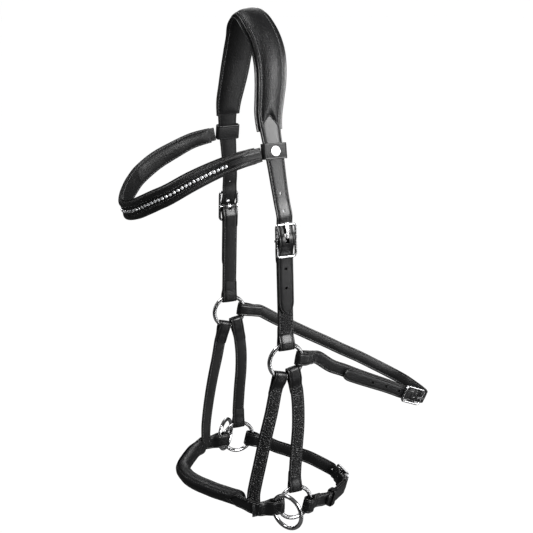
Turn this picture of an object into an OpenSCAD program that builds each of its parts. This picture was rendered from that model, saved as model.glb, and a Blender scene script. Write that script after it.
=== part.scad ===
// Bitless headstall in padded leather with round rings, full horse size.
// The seat of the crown on the poll is the origin, +Z is up, the face looks to -Y
// and the horse's left (near) side is +X.

/* [Rings] */
// Outside diameter of every round ring
ring_od = 46; // [44:0.5:48]
// Thickness of the ring wire
ring_wire = 5; // [4.5:0.1:5.2]

/* [Places of the rings] */
// Half the distance between the two upper rings
upper_x = 92; // [90:1:94]
// Distance of the upper ring centres behind the crown seat
upper_y = 8; // [6:1:10]
// Depth of the upper ring centres below the crown seat
upper_drop = 378; // [375:1:381]
// Half the distance between the two lower rings
lower_x = 94; // [92:1:96]
// Distance of the lower ring centres behind the crown seat
lower_y = 20; // [18:1:22]
// Depth of the lower ring centres below the crown seat
lower_drop = 563; // [560:1:566]
// Angle at which the near rein ring stands out from the cheek
near_rein_angle = 60; // [40:1:80]
// Angle at which the far rein ring stands out from the cheek
far_rein_angle = 46; // [40:1:80]

/* [Leather] */
// Width of the cheekpieces and of the crown billets
cheek_w = 19; // [18:0.5:20]
// Width of the drop straps and of the jowl strap
drop_w = 16; // [15:0.5:16.5]
// Width of the nose tabs and of the chin strap
chin_w = 18; // [17:0.5:18.5]
// Thickness of a full strap
leather_t = 3; // [2.6:0.1:3.2]
// Thickness of a folded and skived strap end
skived_t = 1.8; // [1.6:0.1:2]

/* [Browband] */
// Number of stones set in the browband
stones = 61; // [41:2:61]
// Diameter of one stone
stone_d = 4.2; // [3.5:0.1:4.4]

/* [Hidden] */

near = 1;
far = -1;
ring_r = (ring_od - ring_wire) / 2;
wire_r = ring_wire / 2;
clear = 0.3;
billet_t = 2.6;

// Ring centres
function upper_ring_at(side) = [side * upper_x, upper_y, -upper_drop];
function lower_ring_at(side) = [side * lower_x, lower_y, -lower_drop];

// Angles at which the strap loops leave their rings, in the plane of the ring:
// each is [place on the ring, direction of the strap]
cheek_dir = [90, 90];
jowl_dir = [1, -11];
rear_dir = [-61, -79];
front_dir = [-112, -106];
lower_rear_dir = [90, 90];
chin_dir = [-20, -14];
cheek_lean = -3.7;
jowl_lean = 10;
chin_lean = 30;

// Profile of a folded loop: the slot keeps clear of the bent ring wire
neck_len = 14;
function sagitta(w) = ring_r - sqrt(ring_r * ring_r - w * w / 4);
function skew(w, dir) = w / 2 * tan(abs(dir[1] - dir[0]));

// Tab loop at each end of the nose strap, long enough for two ring wires
tab_half = 3.9;
tab_slot_end = 7.5;
rein_hinge_u = 6.8;
rein_play = 1;

// Centre-bar buckle: half length, wire and the heights of its bars over the strap
buckle_half = 20;
buckle_wire = 3.2;
bar_d = 3;
bar_c = 3.9;
frame_c = 6.6;
lap_c = 3.1;
// Straight run of a strap in front of its bar: distances from the bar
back_of_bar = [19, 14];
// Route of a billet through a centre-bar buckle: along the strap, height over it
weave = [[28, 3.1], [18, 3.1], [9, 5.8], [4, 8.4], [0, 9.2], [-4, 8.4], [-9, 5.6]];

// Crown strap from the poll to the near buckle: x, y, z, width, thickness
crown_route = [
    [0, 0, 7, 32, 3], [12, 0.5, 4, 32, 3], [24, 2, -4, 33, 3], [36, 5, -17, 33, 3], [46, 6, -32, 33, 3],
    [53, 5.5, -48, 32, 3], [57, 4, -64, 31, 3], [60, 1.5, -81, 29, 3], [63, -1, -98, 27, 3],
    [66.5, -1, -115, 24, 3], [72, 1, -137, 22, 3], [74.5, 3, -155, 20.5, 3], [77.5, 5, -175, 19.5, 2.8],
    [81, 7, -194, 19, 2.6]
];
crown_pad_count = 10;
// Width direction of the crown: it dips to the front over the poll
crown_wide = [0, 1, 0.16];

// Browband from the near loop to the middle of the forehead
brow_route = [
    [74, -15, -139.5, 16, 2.5], [74, -43, -145, 17.5, 2.5], [70, -68, -154, 19.5, 2.5],
    [66, -93, -165, 21, 2.5], [58, -115, -178, 21.5, 2.5], [47, -127, -186, 22, 2.5],
    [36, -136, -193, 22, 2.5], [20, -145, -201, 22, 2.5], [0, -150, -205, 22, 2.5]
];
brow_wide = [0, 0.3, -0.95];
brow_loop_at = [72, 1, -137];
brow_loop_lean = 11.5;

// Drop straps of the near side
front_route = [
    [92, -10, -440, 16, 2.8], [91.5, -17, -470, 16, 2.8], [90.5, -23, -500, 16, 2.8],
    [88, -28, -528, 16, 2.6], [85.6, -30, -545, 16, 2.6], [85.4, -30, -556, 16, 2.6],
    [85.4, -30, -566, 16, 2.6]
];
rear_route = [
    [92, 25.5, -440, 16, 2.8], [92.8, 24, -465, 16, 2.8], [93.5, 22, -490, 16, 2.8]
];

// Nose strap on the outside of the roll, from the near tab to the middle
nose_route = [
    [90.5, -31, -561, 18, 2.6], [86, -37, -559, 18, 2.6], [78, -43.5, -557, 17, 2.6],
    [70, -51.5, -555, 16, 2.6], [61, -60.5, -553.5, 15, 2.6], [50.5, -69, -553, 14, 2.6],
    [40, -76.5, -552, 14, 2.6], [28, -84.5, -551, 14, 2.6], [14, -91.5, -549, 14, 2.6], [0, -94, -547, 14, 2.6]
];
nose_wide = [0, 0.1, -1];

// Jowl strap, near half up to the buckle and the whole U behind the jaw
jowl_wide = [0, 0.45, 0.89];
jowl_near_route = [
    [84, 70, -397, 16, 2.8], [79, 90, -408, 16, 2.8], [74, 113, -421, 16, 2.8], [68.5, 137, -434, 16, 2.8],
    [63, 160, -446.5, 16, 2.8]
];
jowl_far_route = [
    [-84, 70, -394, 16, 2.8], [-79, 90, -405, 16, 2.8], [-74, 113, -418, 16, 2.8], [-68.5, 137, -431, 16, 2.8],
    [-63, 160, -444, 16, 2.8], [-58, 184, -457, 16, 2.8], [-52, 206, -470, 16, 2.8], [-43, 225, -481, 16, 2.8],
    [-29, 239, -489, 16, 2.6], [-10, 246, -494, 16, 2.6], [10, 245.5, -494, 16, 2.6],
    [28, 238, -489.5, 16, 2.6]
];
jowl_bar_at = [53, 199, -468];
jowl_along = [-0.29, 0.852, -0.436];

// Chin strap, near half up to the buckle and the far half around the chin groove
chin_wide = [0, 0.3, 0.95];
chin_near_route = [
    [75.5, 70, -580, 18, 2.8], [67.5, 81, -583, 18, 2.8], [58, 92, -586, 18, 2.8],
    [47.5, 103, -589, 18, 2.8], [38.5, 111.5, -592, 18, 2.8], [29.5, 118.5, -595, 18, 2.8]
];
chin_far_route = [
    [-75.5, 70, -580, 18, 2.8], [-67.5, 81, -583, 18, 2.8], [-58, 92, -586, 18, 2.8], [-49, 102, -588, 18, 2.8],
    [-40, 112, -592, 18, 2.6]
];
chin_bar_at = [1, 124, -598];
chin_along = [-0.985, 0.1, -0.1];

// Vectors
function unit(v) = v / norm(v);
function xyz(p) = [p[0], p[1], p[2]];
function square_to(v, t) = unit(v - (v * t) * t);
function mirror_x(route) = [for (p = route) concat([-p[0]], [for (i = [1:len(p) - 1]) p[i]])];
function backwards(route) = [for (i = [len(route) - 1:-1:0]) route[i]];
function part_of(route, first, last) = [for (i = [first:last]) route[i]];

// Smooth curve through the points of a route
function catmull(a, b, c, d, t) =
    0.5 * (2 * b + (c - a) * t + (2 * a - 5 * b + 4 * c - d) * t * t + (3 * b - a - 3 * c + d) * t * t * t);
function smooth(p, n) = concat([
    for (i = [0:len(p) - 2]) for (k = [0:n - 1])
        catmull(p[max(i - 1, 0)], p[i], p[i + 1], p[min(i + 2, len(p) - 1)], k / n)
], [p[len(p) - 1]]);
function tangent(c, i) = unit(xyz(c[min(i + 1, len(c) - 1)]) - xyz(c[max(i - 1, 0)]));

// The same route moved out along its face by a distance
function lifted(route, wide, rise) = [
    for (i = [0:len(route) - 1])
        let (t = tangent(route, i), n = cross(t, square_to(wide, t)))
            concat(xyz(route[i]) + rise * n, [for (k = [3:len(route[i]) - 1]) route[i][k]])
];

// Sections as width and thickness fractions
flat_section = [[-0.5, -0.5], [0.5, -0.5], [0.5, 0.5], [-0.5, 0.5]];
eased_section = [
    [-0.5, -0.2], [-0.44, -0.5], [0.44, -0.5], [0.5, -0.2], [0.5, 0.2], [0.44, 0.5], [-0.44, 0.5], [-0.5, 0.2]
];
function roll_section() = concat(
    [[0.5, 0.5], [-0.5, 0.5]], [for (k = [0:6]) [-0.5 * cos(k * 30), 0.1 - 0.6 * sin(k * 30)]]);

// A strap swept along a route with its width direction turned from one vector to another
module strap(route, wide, wide_end, section, rise = 0, extra_w = 0, thick = 0, n = 4) {
    c = smooth(route, n);
    last = len(c) - 1;
    m = len(section);
    points = [
        for (i = [0:last])
            let (
                s = i / last,
                t = tangent(c, i),
                w = square_to(wide * (1 - s) + wide_end * s, t),
                up = cross(t, w),
                depth = thick == 0 ? c[i][4] : thick
            )
            for (q = section) xyz(c[i]) + w * (q[0] * (c[i][3] + extra_w)) + up * (q[1] * depth + rise)
    ];
    sides = [
        for (i = [0:last - 1]) for (k = [0:m - 1])
            [i * m + k, (i + 1) * m + k, (i + 1) * m + (k + 1) % m, i * m + (k + 1) % m]
    ];
    polyhedron(points, concat([[for (k = [0:m - 1]) k]], sides, [[for (k = [m - 1:-1:0]) last * m + k]]));
}

// Axes: a along the strap, c outwards, the third across the strap
module place(origin, along, out) {
    a = unit(along);
    c = square_to(out, a);
    b = cross(c, a);
    multmatrix([
        [a[0], b[0], c[0], origin[0]], [a[1], b[1], c[1], origin[1]], [a[2], b[2], c[2], origin[2]], [0, 0, 0, 1]
    ]) children();
}

// Round ring whose axis is X
module wire_ring() {
    rotate([0, 90, 0]) rotate_extrude($fn = 96) translate([ring_r, 0]) circle(r = wire_r, $fn = 32);
}

// Folded loop around a ring wire, cut back where two loops meet inside the ring
module loop_profile(mid, half, slot_end, length, neck_t) {
    arc = [for (k = [0:8]) 90 + k * 22.5];
    difference() {
        polygon(concat(
            [for (a = arc) [mid + (half + skived_t) * cos(a), (half + skived_t) * sin(a)]],
            [[slot_end, -half - skived_t], [length, -neck_t / 2], [length, neck_t / 2], [slot_end, half + skived_t]]));
        polygon(concat(
            [for (a = arc) [mid + half * cos(a), half * sin(a)]],
            [[slot_end, -half - 0.1], [length - 3, 0], [slot_end, half + 0.1]]));
    }
}

module loop_on_ring(centre, dir, lean, w, half, neck_t, trim) {
    c = cos(dir[1]);
    s = sin(dir[1]);
    o = centre + ring_r * [0, cos(dir[0]), sin(dir[0])];
    slant = skew(w, dir);
    multmatrix([[0, 1, 0, o[0]], [c, 0, s, o[1]], [s, 0, -c, o[2]], [0, 0, 0, 1]])
        rotate([0, 0, lean])
            intersection() {
                linear_extrude(w, center = true)
                    loop_profile(-sagitta(w) - 1.3 * slant, half, 1 + slant, neck_len + slant, neck_t);
                rotate([90, 0, 0])
                    linear_extrude(40, center = true)
                        polygon([
                            [-9 - slant, w / 2 - trim], [-4.2 - slant, w / 2], [40, w / 2],
                            [40, -w / 2], [-4.2 - slant, -w / 2], [-9 - slant, trim - w / 2]
                        ]);
            }
}

// Point and direction where the strap takes over from its loop
function loop_end(centre, dir, lean, length) =
    centre + ring_r * [0, cos(dir[0]), sin(dir[0])]
    + length * [sin(lean), cos(lean) * cos(dir[1]), cos(lean) * sin(dir[1])];
function neck_points(centre, dir, lean, w, t) = [
    concat(loop_end(centre, dir, lean, neck_len + skew(w, dir) - 1), [w - 0.2, t - 0.1]),
    concat(loop_end(centre, dir, lean, neck_len + skew(w, dir) + 7), [w, t])
];

// Row of punched holes through a strap
module punch(at, along, out, count, pitch, d) {
    place(at, along, out)
        for (i = [0:count - 1]) translate([i * pitch, 0, 0]) cylinder(d = d, h = 14, center = true, $fn = 24);
}

// Centre-bar buckle frame of round wire
module buckle_frame(w) {
    half_w = w / 2 + 0.4 + buckle_wire / 2;
    half_l = buckle_half - buckle_wire / 2;
    corner = 4;
    r = buckle_wire / 2;
    color("silver") {
        translate([0, 0, frame_c]) {
            for (sa = [-1, 1]) {
                translate([sa * half_l, 0, 0])
                    rotate([90, 0, 0])
                        cylinder(r = r, h = 2 * (half_w - corner), center = true, $fn = 32);
                translate([0, sa * half_w, 0])
                    rotate([0, 90, 0])
                        cylinder(r = r, h = 2 * (half_l - corner), center = true, $fn = 32);
            }
            for (q = [0:3])
                rotate([0, 0, q * 90])
                    translate([(q % 2 == 0 ? half_l : half_w) - corner, (q % 2 == 0 ? half_w : half_l) - corner, 0])
                        rotate_extrude(angle = 90, $fn = 64)
                            translate([corner, 0]) circle(r = r, $fn = 32);
        }
        translate([0, 0, bar_c]) rotate([90, 0, 0]) cylinder(d = bar_d, h = 2 * half_w + 0.6, center = true, $fn = 32);
        for (sb = [-1, 1])
            translate([0, sb * half_w, (bar_c + frame_c) / 2])
                cube([2.6, 2.6, frame_c - bar_c + 1.2], center = true);
    }
}

// Tongue: an eye on the centre bar and a flat prong up to the end bar
tongue_w = 3;
module buckle_tongue() {
    color("silver")
        translate([0, 0, bar_c])
            rotate([90, 0, 0])
                difference() {
                    union() {
                        cylinder(r = 3, h = tongue_w, center = true, $fn = 48);
                        linear_extrude(tongue_w, center = true)
                            polygon([
                                [-1, 1.2], [3.5, 7.9], [6.5, 8.1], [13, 7.4], [20.5, 6.2], [20.8, 4.9], [19.6, 4.5],
                                [12, 5.3], [7, 5.7], [5, 5.2], [1.8, 0.2]
                            ]);
                    }
                    cylinder(d = bar_d + 0.1, h = tongue_w + 1, center = true, $fn = 48);
                }
}

// Leather loop around the centre bar with a slot for the tongue
module bar_loop(w) {
    arc = [for (k = [0:9]) 100 - k * 20];
    difference() {
        rotate([90, 0, 0])
            linear_extrude(w, center = true)
                difference() {
                    polygon(concat(
                        [for (a = arc) [3.6 * cos(a), bar_c + 3.6 * sin(a)]],
                        [[-13, -leather_t / 2 + 0.1], [-16, -leather_t / 2 + 0.1], [-16, leather_t / 2 - 0.1], [-13, leather_t / 2 - 0.1]]));
                    polygon(concat([for (a = arc) [1.8 * cos(a), bar_c + 1.8 * sin(a)]], [[-8, 1.6]]));
                }
        translate([-4, -tongue_w / 2 - 0.9, -1]) cube([10, tongue_w + 1.8, 12]);
    }
}

// Opening in a billet for the tongue
module tongue_slot() {
    translate([-2.5, -tongue_w / 2 - 0.9, 4]) cube([10.5, tongue_w + 1.8, 10]);
}

// Route of a billet through a buckle, laid out from its along and outward directions
function weave_points(at, along, out, w, t) =
    let (a = unit(along), c = square_to(out, a))
        [for (k = weave) concat(at + k[0] * a + (k[1] - bar_c) * c, [w, t])];

// ---------------------------------------------------------------- crown
module crown_lining() {
    color("#17171a") crown_layer(crown_pad_count - 1, -1.8 - 2.5, 6, 5);
}

module crown_panel() {
    color("#1d1d20") crown_layer(crown_pad_count - 2, 1.8 + 1.5, -7, 3);
}

module crown_layer(last, rise, extra_w, thick) {
    half = part_of(crown_route, 0, last);
    strap(concat(backwards(mirror_x(half)), part_of(half, 1, len(half) - 1)),
        crown_wide, crown_wide, eased_section, rise, extra_w, thick, 3);
}

// Cheek buckles: the cheekpieces lean in from the upper rings to them
cheek_bar_x = 84;
cheek_bar_z = -235;
function cheek_along(side) = [side * sin(cheek_lean), 0, cos(cheek_lean)];
function cheek_out(side) = [side * cos(cheek_lean), 0, -sin(cheek_lean)];
function cheek_at(side, a, c) =
    [side * cheek_bar_x, upper_y, cheek_bar_z] + a * cheek_along(side) + c * cheek_out(side);

module at_cheek(side) {
    place(cheek_at(side, 0, 0), cheek_along(side), cheek_out(side)) children();
}

module crown_strap() {
    billet = weave_points(cheek_at(near, 0, bar_c), cheek_along(near), cheek_out(near), cheek_w, billet_t);
    tip = [for (q = [[-19, cheek_w], [-45, cheek_w], [-71, cheek_w], [-79, 17], [-84, 11]])
        concat(cheek_at(near, q[0], lap_c), [q[1], billet_t])];
    half = concat(crown_route, billet, tip);
    color("#1b1b1e")
        difference() {
            strap(concat(backwards(mirror_x(half)), part_of(half, 1, len(half) - 1)),
                crown_wide, crown_wide, flat_section, 0, 0, 0, 3);
            for (side = [near, far]) {
                at_cheek(side) tongue_slot();
                punch(cheek_at(side, -33, lap_c), cheek_along(side), cheek_out(side), 2, -22, 4);
                punch(cheek_at(side, 42, -1), cheek_along(side), cheek_out(side), 1, 22, 4);
            }
        }
}

// ---------------------------------------------------------------- cheekpieces
module cheekpiece(side) {
    ring = upper_ring_at(near);
    long = norm(cheek_at(near, 0, 0) - ring - [0, 0, ring_r]);
    color("#1b1b1e")
        mirror([side == far ? 1 : 0, 0, 0]) {
            at_cheek(near) {
                bar_loop(cheek_w);
                translate([neck_len - 1 - long, -cheek_w / 2, -leather_t / 2])
                    cube([long - neck_len - 14, cheek_w, leather_t]);
            }
            loop_on_ring(ring, cheek_dir, cheek_lean, cheek_w, wire_r + clear + 0.3, leather_t, 0.01);
        }
}

module cheek_buckle(side) {
    at_cheek(side) buckle_frame(cheek_w);
}

module cheek_tongue(side) {
    at_cheek(side) buckle_tongue();
}

module upper_ring(side) {
    color("silver") translate(upper_ring_at(side)) wire_ring();
}

// ---------------------------------------------------------------- browband
brow_full = concat(brow_route, part_of(backwards(mirror_x(brow_route)), 1, len(brow_route) - 1));

module brow_layer(rise, extra_w, thick, section) {
    strap(brow_full, brow_wide, brow_wide, section, rise, extra_w, thick, 4);
}

module browband_backing() {
    color("#17171a") brow_layer(-3.3, 2, 3.6, eased_section);
}

module browband_face() {
    color("#1d1d20") brow_layer(0, 0, 2.5, flat_section);
}

module browband_channel() {
    color("#111113") brow_layer(2.1, -11, 1.2, flat_section);
}

// Distances along a curve, and its point and direction at a distance
function lengths(c, i = 0, sum = 0) =
    i == len(c) - 1 ? [sum] : concat([sum], lengths(c, i + 1, sum + norm(xyz(c[i + 1]) - xyz(c[i]))));
function at_length(c, run, s) =
    [for (axis = [0:2]) lookup(s, [for (i = [0:len(c) - 1]) [run[i], c[i][axis]]])];

module browband_stones() {
    c = lifted(smooth(brow_full, 6), brow_wide, 3);
    run = lengths(c);
    margin = 42;
    pitch = (run[len(run) - 1] - 2 * margin) / (stones - 1);
    color("white")
        for (k = [0:stones - 1])
            let (
                s = margin + k * pitch,
                p = at_length(c, run, s),
                t = unit(at_length(c, run, s + 1) - p),
                n = cross(t, square_to(brow_wide, t))
            )
            place(p, t, n) cylinder(d = min(stone_d, pitch - 0.2), h = 1.8, $fn = 8);
}

module browband_loop(side) {
    color("#1b1b1e")
        translate([side * brow_loop_at[0], brow_loop_at[1], brow_loop_at[2]])
            rotate([0, -side * brow_loop_lean, 0])
                difference() {
                    cube([8.8, 29, 18], center = true);
                    cube([5.8, 26.3, 19], center = true);
                }
}

module browband_studs() {
    color("silver")
        for (side = [near, far])
            translate([side * brow_loop_at[0], brow_loop_at[1], brow_loop_at[2]])
                rotate([0, -side * brow_loop_lean, 0])
                    translate([side * 4.5, 0, 0])
                        rotate([0, side * 90, 0]) {
                            cylinder(d = 10.5, h = 1.2, $fn = 48);
                            cylinder(d = 8.5, h = 2, $fn = 48);
                        }
}

// ---------------------------------------------------------------- drop straps and noseband
module front_strap(side) {
    ring = upper_ring_at(near);
    route = concat(neck_points(ring, front_dir, 0, drop_w, 2.8), front_route);
    color("#1b1b1e")
        mirror([side == far ? 1 : 0, 0, 0]) {
            loop_on_ring(ring, front_dir, 0, drop_w, wire_r + clear, 2.8, 2);
            strap(route, [0, 1, 0], [0.54, 0.84, 0], flat_section);
        }
}

module rear_strap(side) {
    top = upper_ring_at(near);
    low = lower_ring_at(near);
    route = concat(neck_points(top, rear_dir, 0, drop_w, 2.8), rear_route,
        backwards(neck_points(low, lower_rear_dir, 0, drop_w, 2.8)));
    color("#1b1b1e")
        mirror([side == far ? 1 : 0, 0, 0]) {
            loop_on_ring(top, rear_dir, 0, drop_w, wire_r + clear + 0.2, 2.8, 2);
            strap(route, [0, 1, 0], [0, 1, 0], flat_section);
            loop_on_ring(low, lower_rear_dir, 0, drop_w, wire_r + clear, 2.8, 0.01);
        }
}

tab_len = 21;
function tab_points() = [
    [lower_x, lower_y - ring_r - tab_len + 1, -lower_drop, chin_w, 2.8],
    [lower_x - 0.5, lower_y - ring_r - tab_len - 4, -lower_drop + 0.5, chin_w, 2.8]
];
nose_full = concat(nose_route, part_of(backwards(mirror_x(nose_route)), 1, len(nose_route) - 1));

module tab_loop() {
    translate([lower_x, lower_y - ring_r, -lower_drop])
        rotate([0, 0, -90])
            linear_extrude(chin_w, center = true) loop_profile(-1, tab_half, tab_slot_end, tab_len, 2.8);
}

module nose_strap() {
    color("#1b1b1e") {
        strap(concat(tab_points(), nose_full, backwards(mirror_x(tab_points()))),
            nose_wide, nose_wide, flat_section, 0, 0, 0, 3);
        tab_loop();
        mirror([1, 0, 0]) tab_loop();
    }
}

module nose_layer(first, rise, extra_w, thick, section) {
    strap(part_of(nose_full, first, len(nose_full) - 1 - first),
        nose_wide, nose_wide, section, rise, extra_w, thick, 3);
}

module nose_pad() {
    color("#17171a") nose_layer(2, -1.6 - 6, 4.5, 12, roll_section());
}

module nose_cover() {
    color("#1d1d20") nose_layer(3, 1.6 + 1.2, -3, 2.4, eased_section);
}

module lower_ring(side) {
    color("silver") translate(lower_ring_at(side)) wire_ring();
}

module rein_ring(side) {
    angle = side == near ? near_rein_angle : far_rein_angle;
    color("silver")
        translate([side * lower_x, lower_y - ring_r - rein_hinge_u, -lower_drop])
            rotate([0, 0, -side * angle])
                translate([0, ring_r - rein_play, 0])
                    wire_ring();
}

// ---------------------------------------------------------------- jowl strap
jowl_out = cross(jowl_along, jowl_wide);

jowl_neck = neck_points(upper_ring_at(near), jowl_dir, -jowl_lean, drop_w, 2.8);
jowl_near_full = concat(jowl_neck, jowl_near_route,
    [for (k = back_of_bar) concat(jowl_bar_at - k * unit(jowl_along), [drop_w - 0.2, 2.7])]);

module jowl_ring_loop() {
    loop_on_ring(upper_ring_at(near), jowl_dir, -jowl_lean, drop_w, wire_r + clear + 0.5, 2.8, 2);
}

module near_jowl_strap() {
    color("#1b1b1e") {
        jowl_ring_loop();
        strap(jowl_near_full, jowl_wide, jowl_wide, flat_section);
        place(jowl_bar_at, jowl_along, jowl_out) bar_loop(drop_w);
    }
}

module far_jowl_strap() {
    bar = jowl_bar_at + bar_c * square_to(jowl_out, unit(jowl_along));
    lap = part_of(lifted(jowl_near_full, jowl_wide, lap_c), 3, len(jowl_near_full) - 2);
    color("#1b1b1e") {
        mirror([1, 0, 0]) jowl_ring_loop();
        difference() {
            strap(concat(mirror_x(jowl_neck), jowl_far_route,
                    weave_points(bar, jowl_along, jowl_out, drop_w, billet_t), backwards(lap)),
                jowl_wide, jowl_wide, flat_section, 0, 0, 0, 3);
            place(jowl_bar_at, jowl_along, jowl_out) tongue_slot();
        }
    }
}

module jowl_buckle() {
    place(jowl_bar_at, jowl_along, jowl_out) buckle_frame(drop_w);
}

module jowl_tongue() {
    place(jowl_bar_at, jowl_along, jowl_out) buckle_tongue();
}

// ---------------------------------------------------------------- chin strap
chin_out = cross(chin_along, chin_wide);

chin_neck = neck_points(lower_ring_at(near), chin_dir, -chin_lean, chin_w, 2.8);
chin_near_full = concat(chin_neck, chin_near_route,
    [for (k = back_of_bar) concat(chin_bar_at - k * unit(chin_along), [chin_w, 2.8])]);

module chin_ring_loop() {
    loop_on_ring(lower_ring_at(near), chin_dir, -chin_lean, chin_w, wire_r + clear + 1.4, 2.8, 0.01);
}

module near_chin_strap() {
    color("#1b1b1e") {
        chin_ring_loop();
        strap(chin_near_full, chin_wide, chin_wide, flat_section);
        place(chin_bar_at, chin_along, chin_out) bar_loop(chin_w);
    }
}

module far_chin_strap() {
    bar = chin_bar_at + bar_c * square_to(chin_out, unit(chin_along));
    lap = part_of(lifted(chin_near_full, chin_wide, lap_c), 2, len(chin_near_full) - 2);
    color("#1b1b1e") {
        mirror([1, 0, 0]) chin_ring_loop();
        difference() {
            strap(concat(mirror_x(chin_neck), chin_far_route,
                    weave_points(bar, chin_along, chin_out, chin_w, billet_t), backwards(lap)),
                chin_wide, chin_wide, flat_section, 0, 0, 0, 3);
            place(chin_bar_at, chin_along, chin_out) tongue_slot();
        }
    }
}

module chin_buckle() {
    place(chin_bar_at, chin_along, chin_out) buckle_frame(chin_w);
}

module chin_tongue() {
    place(chin_bar_at, chin_along, chin_out) buckle_tongue();
}

// Keeper loop around both layers of the chin strap
chin_keeper_at = [67.5, 81, -583];
chin_keeper_along = [-0.61, 0.766, -0.2];
module chin_keeper() {
    color("#141416")
        place(chin_keeper_at, chin_keeper_along, cross(chin_keeper_along, chin_wide))
            translate([0, 0, lap_c / 2])
                difference() {
                    cube([9, chin_w + 4.8, 11], center = true);
                    cube([10, chin_w + 1.6, 7.8], center = true);
                }
}

crown_lining();
crown_strap();
crown_panel();
cheekpiece(near);  // near_cheekpiece
cheekpiece(far);  // far_cheekpiece
cheek_buckle(near);  // near_cheek_buckle
cheek_buckle(far);  // far_cheek_buckle
cheek_tongue(near);  // near_cheek_tongue
cheek_tongue(far);  // far_cheek_tongue
upper_ring(near);  // near_upper_ring
upper_ring(far);  // far_upper_ring
browband_backing();
browband_face();
browband_channel();
browband_stones();
browband_loop(near);  // near_browband_loop
browband_loop(far);  // far_browband_loop
browband_studs();
front_strap(near);  // near_front_strap
front_strap(far);  // far_front_strap
rear_strap(near);  // near_rear_strap
rear_strap(far);  // far_rear_strap
nose_strap();
nose_pad();
nose_cover();
lower_ring(near);  // near_lower_ring
lower_ring(far);  // far_lower_ring
rein_ring(near);  // near_rein_ring
rein_ring(far);  // far_rein_ring
near_jowl_strap();
far_jowl_strap();
jowl_buckle();
jowl_tongue();
near_chin_strap();
far_chin_strap();
chin_buckle();
chin_tongue();
chin_keeper();
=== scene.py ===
import math

import bmesh
import bpy
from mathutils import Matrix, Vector


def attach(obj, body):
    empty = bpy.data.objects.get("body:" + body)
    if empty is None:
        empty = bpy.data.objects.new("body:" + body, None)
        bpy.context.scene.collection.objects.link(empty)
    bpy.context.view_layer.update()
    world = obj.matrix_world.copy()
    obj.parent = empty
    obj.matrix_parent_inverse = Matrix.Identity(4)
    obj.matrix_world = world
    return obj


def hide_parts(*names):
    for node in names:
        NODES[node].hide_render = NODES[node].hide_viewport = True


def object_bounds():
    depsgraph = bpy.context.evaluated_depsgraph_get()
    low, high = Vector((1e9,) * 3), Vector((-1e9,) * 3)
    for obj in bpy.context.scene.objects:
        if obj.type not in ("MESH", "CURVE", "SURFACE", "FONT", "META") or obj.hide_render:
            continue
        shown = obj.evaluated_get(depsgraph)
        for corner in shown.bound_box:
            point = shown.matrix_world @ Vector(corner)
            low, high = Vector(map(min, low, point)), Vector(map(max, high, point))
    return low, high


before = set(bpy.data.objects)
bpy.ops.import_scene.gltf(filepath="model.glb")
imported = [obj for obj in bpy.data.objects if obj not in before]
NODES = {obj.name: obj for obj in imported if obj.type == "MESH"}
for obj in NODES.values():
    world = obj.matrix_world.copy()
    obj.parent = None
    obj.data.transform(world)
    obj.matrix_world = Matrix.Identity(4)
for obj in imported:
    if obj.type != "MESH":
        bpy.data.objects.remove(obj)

cad_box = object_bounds()
MM = 0.001

PAD_SEAM = 0.77  # seam of a pad, as a share of its half width
ROW_AT = 0.41  # stitch row of a pad, as a share of its width

# ---------------------------------------------------------------- sizes shared with the CAD source, in mm
RING_R = 20.5
WIRE_R = 2.5
CLEAR = 0.3
SKIVED = 1.8
UPPER = (92, 8, -378)
LOWER = (94, 20, -563)
CHEEK_W, DROP_W, CHIN_W = 19, 16, 18
NECK = 14
BAR_C = 3.9
LAP = 3.1
BACK_OF_BAR = (19, 14)
WEAVE = [(28, 3.1), (18, 3.1), (9, 5.8), (4, 8.4), (0, 9.2), (-4, 8.4), (-9, 5.6)]

CROWN_ROUTE = [
    (0, 0, 7, 32, 3), (12, 0.5, 4, 32, 3), (24, 2, -4, 33, 3), (36, 5, -17, 33, 3), (46, 6, -32, 33, 3),
    (53, 5.5, -48, 32, 3), (57, 4, -64, 31, 3), (60, 1.5, -81, 29, 3), (63, -1, -98, 27, 3),
    (66.5, -1, -115, 24, 3), (72, 1, -137, 22, 3), (74.5, 3, -155, 20.5, 3), (77.5, 5, -175, 19.5, 2.8),
    (81, 7, -194, 19, 2.6),
]
CROWN_WIDE = (0, 1, 0.16)
CHEEK_BAR = (84, 8, -235)
CHEEK_LEAN = -3.7
CHEEK_DIR, JOWL_DIR, REAR_DIR, FRONT_DIR = (90, 90), (1, -11), (-61, -79), (-112, -106)
CHIN_DIR, LOWER_REAR_DIR = (-20, -14), (90, 90)
JOWL_LEAN, CHIN_LEAN = -10, -30
BROW_ROUTE = [
    (74, -15, -139.5, 16, 2.5), (74, -43, -145, 17.5, 2.5), (70, -68, -154, 19.5, 2.5),
    (66, -93, -165, 21, 2.5), (58, -115, -178, 21.5, 2.5), (47, -127, -186, 22, 2.5),
    (36, -136, -193, 22, 2.5), (20, -145, -201, 22, 2.5), (0, -150, -205, 22, 2.5),
]
BROW_WIDE = (0, 0.3, -0.95)
BROW_LOOP = (72, 1, -137)
BROW_LEAN = 11.5
STONES = 61
FRONT_ROUTE = [
    (92, -10, -440, 16, 2.8), (91.5, -17, -470, 16, 2.8), (90.5, -23, -500, 16, 2.8),
    (88, -28, -528, 16, 2.6), (85.6, -30, -545, 16, 2.6), (85.4, -30, -556, 16, 2.6),
    (85.4, -30, -566, 16, 2.6),
]
REAR_ROUTE = [
    (92, 24.2, -440, 16, 2.8), (92.8, 24, -465, 16, 2.8), (93.5, 22, -490, 16, 2.8),
]
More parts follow.
